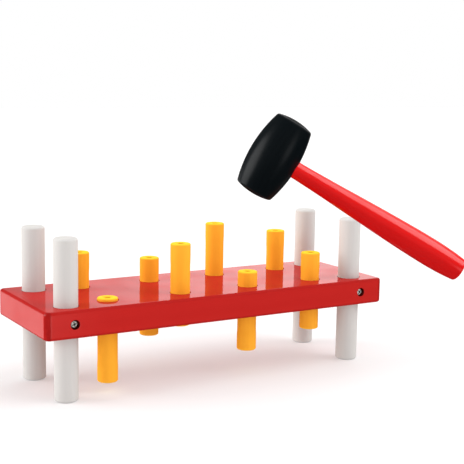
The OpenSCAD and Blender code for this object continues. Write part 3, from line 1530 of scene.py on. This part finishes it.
@dataclass
class HammerHead(HammerPart):
    """Barrel-shaped head with crowned faces.

    Attributes:
        face_radius: Radius at the striking faces.
        length: Length over both faces.
        crown: Height of a face's crown.
        rim_round: Rounding between the barrel and a face.
        side_steps: Steps from the middle of the barrel to a rim.
        rim_steps: Steps over a rim.
        crown_steps: Steps from a rim to the middle of a face.
        matt_from: Step from which the crown is fully matt and fully in painted shade.
        socket_segments: Segments round the handle's socket.
    """

    segments: int = 160
    finish: str = BLACK_LACQUER.name
    slot: Slot = Slot.BLACK
    face_radius: float = 15.5 * MM
    length: float = 67.5 * MM
    crown: float = 2.4 * MM
    rim_round: float = 2.4 * MM
    side_steps: int = 20
    rim_steps: int = 10
    crown_steps: int = 14
    matt_from: int = 2
    socket_segments: int = 64

    def place(self) -> Matrix:
        """The head's axis is the stance's own Z."""
        return self.stance.place()

    def outline(self) -> Outline:
        """A long side arc, a rounded rim with a painted highlight and a matt crown with painted shade, each
        tangent to the next.

        Returns:
            The outline.
        """
        half = self.length / 2
        side_r = bowed(half - self.crown, self.head_radius - self.face_radius)
        crown_r = bowed(self.face_radius, self.crown)
        side = Vector((self.head_radius - side_r, 0.0))
        crown = Vector((0.0, half - crown_r))
        rim = circles_meet(crown, crown_r - self.rim_round, side, side_r - self.rim_round)
        start = math.degrees(math.atan2(rim.y - side.y, rim.x - side.x))
        end = math.degrees(math.atan2(rim.y - crown.y, rim.x - crown.x))
        out = Outline().arc(tuple(side), side_r, 0, start, self.side_steps)
        # The rim's rounding carries a painted highlight.
        out.arc(tuple(rim), self.rim_round, start, end, self.rim_steps, rim=1.0)
        # The crown is matt and in painted shade.
        for i in range(self.crown_steps + 1):
            angle = math.radians(end + (90 - end) * i / self.crown_steps)
            matt = -min(1.0, i / self.matt_from)
            out.to(crown_r * math.cos(angle), crown.y + crown_r * math.sin(angle), matt)
        return out.mirrored()

    def worked(self, piece: bpy.types.Object) -> bpy.types.Object:
        """Drills the blind socket for the handle.

        Args:
            piece: The turned head.

        Returns:
            The head with its socket.
        """
        drill = bmesh.new()
        radius = self.neck_radius + self.fit
        depth = self.socket_past_axis + 2 * self.head_radius
        middle = (depth / 2 - self.socket_past_axis, 0, 0)
        bmesh.ops.create_cone(
            drill,
            cap_ends=True,
            segments=self.socket_segments,
            radius1=radius,
            radius2=radius,
            depth=depth,
            matrix=Matrix.Translation(middle) @ Matrix.Rotation(math.pi / 2, 4, "Y"),
        )
        return cut_with(piece, drill)


@dataclass
class HammerHandle(HammerPart):
    """Turned handle: a straight end in the socket, a taper, the swell of the grip and a rounded end.

    Attributes:
        swell_radius: Radius at the swell.
        end_radius: Radius that it narrows to at its end.
        swell_at: Distance from the head's axis to the swell.
        end_at: Distance from the head's axis to the end.
        end_round: Rounding of the end.
        tenon_bevel: Bevel on the end in the socket.
        floor_gap: Space to the socket's floor.
        neck_taper_share: Share of the average taper with which it leaves the head.
        taper_steps: Steps along the taper.
        grip_steps: Steps from the swell to the end's rounding.
        end_steps: Steps over that rounding.
    """

    finish: str = HANDLE_LACQUER.name
    swell_radius: float = 11.4 * MM
    end_radius: float = 9.5 * MM
    swell_at: float = 149 * MM
    end_at: float = 178 * MM
    end_round: float = 2.5 * MM
    tenon_bevel: float = 0.8 * MM
    floor_gap: float = 0.5 * MM
    neck_taper_share: float = 0.5
    taper_steps: int = 32
    grip_steps: int = 14
    end_steps: int = 10

    def place(self) -> Matrix:
        """The handle's axis is the stance's X, so the turned Z is laid along it."""
        return self.stance.place() @ Matrix.Rotation(math.pi / 2, 4, "Y")

    def outline(self) -> Outline:
        """The straight end, the cubic taper, the grip's arc and the rounded end.

        Returns:
            The outline.
        """
        start = self.floor_gap - self.socket_past_axis
        out = Outline().to(0.0, start).to(self.neck_radius - self.tenon_bevel, start)
        out.to(self.neck_radius, start + self.tenon_bevel)
        third = (self.swell_at - self.head_radius) / 3
        flare = self.neck_taper_share * (self.swell_radius - self.neck_radius) / 3
        radii = (self.neck_radius, self.neck_radius + flare, self.swell_radius, self.swell_radius)
        for i in range(self.taper_steps + 1):
            t = i / self.taper_steps
            weights = ((1 - t) ** 3, 3 * t * (1 - t) ** 2, 3 * t * t * (1 - t), t**3)
            radius = sum(w * r for w, r in zip(weights, radii))
            out.to(radius, self.head_radius + 3 * third * t)
        grip_r = bowed(self.end_at - self.swell_at, self.swell_radius - self.end_radius)
        grip = Vector((self.swell_radius - grip_r, self.swell_at))
        turn = math.asin((self.end_at - self.end_round - self.swell_at) / (grip_r - self.end_round))
        corner = grip + (grip_r - self.end_round) * Vector((math.cos(turn), math.sin(turn)))
        out.arc(tuple(grip), grip_r, 0, math.degrees(turn), self.grip_steps)
        # The end's rounding carries a painted highlight.
        out.arc(tuple(corner), self.end_round, math.degrees(turn), 90, self.end_steps, rim=1.0)
        return out.to(0.0, self.end_at)


# The screws


@dataclass
class Screw(Turned):
    """Pan-head wood screw with a cross recess and a wound thread.

    Attributes:
        side: Long side of the board that it is driven into.
        turn_deg: How far it stands turned about its own axis, in degrees.
        head_radius: Radius of its head.
        head_height: Height of its head.
        head_edge: Height of the head's straight edge.
        length: Length below the head.
        tip: Length of the point.
        crest_radius: Radius over the thread.
        core_radius: Radius of the core.
        pitch: Rise of the thread in one turn.
        recess_arm: Reach of the cross recess.
        recess_width: Width of its arms.
        recess_depth: Its depth.
        recess_floor_share: How much smaller the recess is at its floor.
        unshaded_share: Share of the head's radius inside the painted shade on its rim.
        dome_steps: Steps from the edge of the head to its middle.
        thread_tip_share: Radius of the thread's path at the point, as a share of that on the core.
        thread_steps: Steps in one turn of the thread.
        thread_sides: Sides of the thread's ridge.
    """

    finish: str = PlatedSteel.name
    slot: Slot = Slot.STEEL
    segments: int = 48
    side: Side = Side.FRONT
    turn_deg: float = 0.0
    head_radius: float = 2.7 * MM
    head_height: float = 1.8 * MM
    head_edge: float = 0.6 * MM
    length: float = 16 * MM
    tip: float = 3 * MM
    crest_radius: float = 1.45 * MM
    core_radius: float = 1.05 * MM
    pitch: float = 1.3 * MM
    recess_arm: float = 2.1 * MM
    recess_width: float = 1.1 * MM
    recess_depth: float = 1.5 * MM
    recess_floor_share: float = 0.4
    unshaded_share: float = 0.86
    dome_steps: int = 10
    thread_tip_share: float = 1 / 3
    thread_steps: int = 20
    thread_sides: int = 3

    def outline(self) -> Outline:
        """Core with a point, and a domed head with a straight edge.

        Returns:
            The outline.
        """
        out = Outline().to(0.0, -self.length)
        out.to(self.core_radius, self.tip - self.length).to(self.core_radius, 0.0)
        out.to(self.head_radius, 0.0).to(self.head_radius, self.head_edge)
        dome_r = self.dome_radius()
        start = math.degrees(math.acos(self.head_radius / dome_r))
        return out.arc((0.0, self.head_height - dome_r), dome_r, start, 90, self.dome_steps)

    def dome_radius(self) -> float:
        """Radius of the sphere that the head's dome is part of."""
        return bowed(self.head_radius, self.head_height - self.head_edge)

    def place(self) -> Matrix:
        """Head outwards in the long side, its seat where the node's head begins.

        Returns:
            The matrix that lays the turned Z across the board.
        """
        low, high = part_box(self.node)
        outer = low.y if self.side is Side.FRONT else high.y
        seat = outer - self.side.value * self.head_height
        middle = (low + high) / 2
        turned = Matrix.Rotation(-self.side.value * math.pi / 2, 4, "X")
        spun = Matrix.Rotation(math.radians(self.turn_deg), 4, "Z")
        return Matrix.Translation((middle.x, seat, middle.z)) @ turned @ spun

    def worked(self, piece: bpy.types.Object) -> bpy.types.Object:
        """Cuts the cross recess into the head.

        Args:
            piece: The turned screw.

        Returns:
            The screw with its recess.
        """
        arm, half = self.recess_arm, self.recess_width / 2
        one_arm = [Vector(point) for point in ((arm, -half), (arm, half), (half, half))]
        cross = []
        for turn in range(4):
            spin = Matrix.Rotation(turn * math.pi / 2, 2)
            cross += [spin @ point for point in one_arm]
        sheet = bmesh.new()
        rings = []
        slope = (1 - self.recess_floor_share) / self.recess_depth
        for level in (self.head_height + self.recess_depth, self.head_height - self.recess_depth):
            share = 1 + slope * (level - self.head_height)
            rings.append([sheet.verts.new((p.x * share, p.y * share, level)) for p in cross])
            sheet.faces.new(rings[-1])
        for i in range(len(cross)):
            after = (i + 1) % len(cross)
            sheet.faces.new((rings[0][i], rings[0][after], rings[1][after], rings[1][i]))
        cut_with(piece, sheet)
        self._shade_recess(piece.data)
        return piece

    def _shade_recess(self, mesh: bpy.types.Mesh) -> None:
        """Paints shade on the faces of the recess, and of the rim down beside the bore.

        Args:
            mesh: The screw's mesh, with its axis along Z.
        """
        mesh.attributes.remove(mesh.attributes[PAINTED_LIGHT])
        wear = mesh.attributes.new(PAINTED_LIGHT, "FLOAT", "FACE")
        dome_r = self.dome_radius()
        for face in mesh.polygons:
            off_axis = face.center.xy.length
            if off_axis > self.unshaded_share * self.head_radius:
                wear.data[face.index].value = -1.0
            elif off_axis < self.recess_arm and face.center.z > WELD:
                dome = self.head_height - dome_r + math.sqrt(dome_r**2 - off_axis**2)
                if dome - face.center.z > SUPPORT / 2:
                    wear.data[face.index].value = -1.0

    def build(self, workshop: Workshop) -> bpy.types.Object:
        """Turns the screw, cuts its recess and winds its thread.

        Args:
            workshop: Trees and finishes.

        Returns:
            The finished piece.
        """
        piece = self.worked(self.turn(workshop))
        wound = self.length - self.pitch
        run_tree(
            piece,
            workshop.thread,
            {
                "Steps": self.thread_steps,
                "Turns": wound / self.pitch,
                "Length": wound,
                "Core Radius": self.core_radius,
                "Tip Radius": self.core_radius * self.thread_tip_share,
                "Ridge Sides": self.thread_sides,
                "Ridge Radius": self.crest_radius - self.core_radius,
                "Lower End": (0.0, 0.0, -self.length + self.pitch / 2),
                "Finish": workshop.finishes[self.finish],
            },
        )
        finish_mesh(piece.data, self.place())
        return hand_over(piece, self.body(), self.node)


# The studio


@dataclass
class Camera:
    """The photograph's point of view.

    Attributes:
        place: Where the camera stands.
        azimuth: How far it looks to the right of +Y, in degrees.
        elevation: How far it looks down, in degrees.
        roll: How far it is tilted about its own line of sight, in degrees.
        focal_px: Focal length in pixels of the picture.
        picture_px: Width of the picture in pixels.
        sensor: Width of the sensor, in Blender's millimetres.
        nearest: Distance from which things are seen.
        farthest: Distance up to which they are seen.
    """

    place: Place = (-0.4160, -0.7406, 0.2397)
    azimuth: float = 31.165
    elevation: float = 8.420
    roll: float = -0.938
    focal_px: float = 1053.94
    picture_px: float = 464.0
    sensor: float = 36.0
    nearest: float = 0.01
    farthest: float = 50.0

    def build(self) -> bpy.types.Object:
        """Makes the camera and the scene's use of it.

        Returns:
            The camera.
        """
        roll = math.radians(self.roll)
        forward = heading(self.azimuth, -self.elevation)
        right = forward.cross(UP).normalized()
        down = forward.cross(right)
        across = math.cos(roll) * right + math.sin(roll) * down
        up = math.sin(roll) * right - math.cos(roll) * down
        data = bpy.data.cameras.new("camera")
        data.sensor_width = self.sensor
        data.lens = self.focal_px / self.picture_px * self.sensor
        data.clip_start = self.nearest
        data.clip_end = self.farthest
        camera = bpy.data.objects.new("camera", data)
        turn = Matrix((across, up, -forward)).transposed()
        camera.matrix_world = Matrix.Translation(self.place) @ turn.to_4x4()
        bpy.context.scene.collection.objects.link(camera)
        bpy.context.scene.camera = camera
        return camera


def heading(azimuth: float, elevation: float) -> Vector:
    """Direction given in degrees: azimuth from +Y towards +X, elevation above the floor."""
    az, el = math.radians(azimuth), math.radians(elevation)
    return Vector((math.sin(az) * math.cos(el), math.cos(az) * math.cos(el), math.sin(el)))


@dataclass(frozen=True)
class Softbox:
    """A large soft light, so far away that it lights everything alike.

    Attributes:
        name: Name of the light.
        azimuth: Where it stands, in degrees from +Y towards +X.
        elevation: How high it stands, in degrees.
        radius: How wide it looks from the bench, in degrees from its middle.
        brightness: Brightness that it gives a white surface that faces it.
        mirrored: Whether polished surfaces mirror it.
    """

    name: str
    azimuth: float
    elevation: float
    radius: float
    brightness: float
    mirrored: bool = True

    def build(self, lit: bpy.types.Object | None = None) -> None:
        """Hangs the light.

        Args:
            lit: The only piece that it lights, or None where it lights everything.
        """
        data = bpy.data.lights.new(self.name, "SUN")
        data.angle = 2 * math.radians(self.radius)
        data.energy = math.pi * self.brightness
        light = bpy.data.objects.new(self.name, data)
        light.rotation_euler = (-heading(self.azimuth, self.elevation)).to_track_quat("-Z", "Y").to_euler()
        light.visible_glossy = self.mirrored
        if lit:
            receivers = bpy.data.collections.new(f"{self.name}_receivers")
            receivers.objects.link(lit)
            light.light_linking.receiver_collection = receivers
        bpy.context.scene.collection.objects.link(light)


@dataclass(frozen=True)
class Backdrop:
    """A lit part of the surroundings.

    Attributes:
        azimuth: Its middle, in degrees from +Y towards +X.
        elevation: Its middle, in degrees.
        inner: Angle from its middle to where it starts to fade.
        outer: Angle from its middle to where it ends.
        brightness: How bright it is.
    """

    azimuth: float
    elevation: float
    inner: float
    outer: float
    brightness: float

    def lit(self, wiring: Wiring, towards: bpy.types.NodeSocket) -> bpy.types.NodeSocket:
        """Adds the nodes that give its brightness in each direction.

        Args:
            wiring: The world's tree.
            towards: Direction that is looked in.

        Returns:
            The brightness.
        """
        middle = tuple(heading(self.azimuth, self.elevation))
        facing = wiring.add("ShaderNodeVectorMath", {0: towards, 1: middle}, operation="DOT_PRODUCT")
        fade = (math.cos(math.radians(angle)) for angle in (self.outer, self.inner))
        return wiring.remap(facing.outputs["Value"], *fade, 0.0, self.brightness, smooth=True)


@dataclass
class Studio:
    """Plain pale floor, plain surroundings with lit parts, and softboxes.

    Attributes:
        floor_half: Half the floor's side.
        floor_colour: Colour of the floor.
        floor_roughness: Roughness of the floor.
        cloud_scale: Scale of the floor's faint clouds.
        cloud_share: Brightness of the clouds, as a share of the floor's.
        horizon: Heights, as sines, between which the room fades in above what is below.
        room: Brightness of the room above the floor.
        mirrored: Brightness of the room as polished surfaces mirror it.
        below: Brightness of what is mirrored below the floor's level.
        shown: Brightness of the background as it is seen.
        floor_glow: Light that the floor gives off, which fills its shadows.
        backdrops: The lit parts of the surroundings.
        softboxes: The lights that light everything.
        handle_light: Light from the right that lights the hammer's handle alone.
    """

    floor_half: float = 6.0
    floor_colour: Colour = (0.60, 0.585, 0.585)
    floor_roughness: float = 0.9
    cloud_scale: float = 3.0
    cloud_share: float = 0.985
    horizon: tuple[float, float] = (-0.12, 0.05)
    room: float = 0.73
    mirrored: float = 0.2
    below: float = 0.05
    shown: float = 1.0
    floor_glow: float = 0.28
    backdrops: tuple[Backdrop, ...] = (
        Backdrop(44.0, 10.0, 4.0, 29.0, 3.1),
        Backdrop(-14.0, -8.0, 9.0, 17.0, 2.6),
        Backdrop(170.0, -10.0, 5.0, 15.0, 2.4),
    )
    softboxes: tuple[Softbox, ...] = (
        Softbox("left_side", -62.0, 14.0, 24.0, 0.84),
        Softbox("right_front", 120.0, 40.0, 26.0, 0.5, mirrored=False),
        Softbox("front", 205.0, 6.0, 28.0, 0.22, mirrored=False),
        Softbox("overhead", 0.0, 80.0, 30.0, 0.13, mirrored=False),
    )
    handle_light: Softbox = Softbox("handle_light", 132.0, 50.0, 28.0, 0.9)

    def _surroundings(self) -> None:
        """Shades the world: a dim room, its lit parts, and plain white where it is seen."""
        world = bpy.data.worlds.new("surroundings")
        world.use_nodes = True
        wiring = Wiring(world.node_tree)
        towards = wiring.add("ShaderNodeTexCoord").outputs["Generated"]
        height = wiring.add("ShaderNodeSeparateXYZ", {0: towards}).outputs[2]
        rays = wiring.add("ShaderNodeLightPath").outputs
        level = wiring.between(rays["Is Glossy Ray"], self.room, self.mirrored)
        above = wiring.remap(height, *self.horizon, 0.0, 1.0, smooth=True)
        total = wiring.between(above, self.below, level)
        for backdrop in self.backdrops:
            total = wiring.math("ADD", total, backdrop.lit(wiring, towards))
        strength = wiring.between(rays["Is Camera Ray"], total, self.shown)
        background = wiring.add("ShaderNodeBackground", {"Color": WHITE, "Strength": strength})
        wiring.add("ShaderNodeOutputWorld", {"Surface": background.outputs[0]})
        bpy.context.scene.world = world

    def _floor(self) -> None:
        """Lays the floor, which polished surfaces don't mirror."""
        mesh = bpy.data.meshes.new("floor")
        half = self.floor_half
        corners = [(-half, -half, 0.0), (half, -half, 0.0), (half, half, 0.0), (-half, half, 0.0)]
        mesh.from_pydata(corners, [], [(0, 1, 2, 3)])
        material, wiring = new_material("pale_floor")
        clouds = wiring.noise(wiring.add("ShaderNodeTexCoord").outputs["Object"], self.cloud_scale)
        darker = tuple(channel * self.cloud_share for channel in self.floor_colour)
        wiring.surface(
            {
                "Base Color": wiring.blend(clouds, self.floor_colour, darker),
                "Roughness": self.floor_roughness,
                "Specular IOR Level": 0.0,
                "Emission Color": WHITE,
                "Emission Strength": self.floor_glow,
            }
        )
        mesh.materials.append(material)
        floor = shown_object("floor", mesh)
        floor.visible_glossy = False

    def build(self, handle: bpy.types.Object) -> None:
        """Sets the surroundings, the floor and the lights.

        Args:
            handle: The hammer's handle.
        """
        self._surroundings()
        self._floor()
        for softbox in self.softboxes:
            softbox.build()
        self.handle_light.build(handle)
        bpy.context.scene.view_settings.view_transform = "Standard"


@dataclass
class PoundingBench:
    """All the pieces of the toy, in the order in which it is put together.

    Attributes:
        corners: The corners of the bench, as its nodes name them.
        rows: The rows of pegs, as their nodes name them.
        pegs_a_row: Pegs in each row.
        first_turn: How far the first screw stands turned, in degrees.
        turn_step: How much further each one after it.
    """

    corners: tuple[str, ...] = ("front_left", "front_right", "back_left", "back_right")
    rows: tuple[str, ...] = ("front", "back")
    pegs_a_row: int = 4
    first_turn: float = 17.0
    turn_step: float = 31.0

    def build(self, workshop: Workshop) -> list[bpy.types.Object]:
        """Makes every piece.

        Args:
            workshop: Trees and finishes.

        Returns:
            The pieces.
        """
        posts = [Post(f"post_{corner}") for corner in self.corners]
        pegs = [Peg(f"peg_{row}_{i}") for row in self.rows for i in range(1, self.pegs_a_row + 1)]
        screws = []
        for i, corner in enumerate(self.corners):
            side = Side[corner.split("_")[0].upper()]
            turn_deg = self.first_turn + self.turn_step * i
            screws.append(Screw(f"screw_{corner}", side=side, turn_deg=turn_deg))
        hammer = [HammerHead("hammer_head"), HammerHandle("hammer_handle")]
        pieces = [Board().build(workshop, posts, pegs)]
        pieces += [part.build(workshop) for part in (*posts, *screws, *pegs, *hammer)]
        return pieces


def main() -> None:
    """Makes the camera, the bench and the studio, and reports each piece."""
    logging.basicConfig(level=logging.INFO, format="%(message)s")
    Camera().build()
    pieces = PoundingBench().build(Workshop.fitted_out())
    Studio().build(handle=pieces[-1])
    LOG.info("%d pieces", len(pieces))


if __name__ == "__main__":
    main()
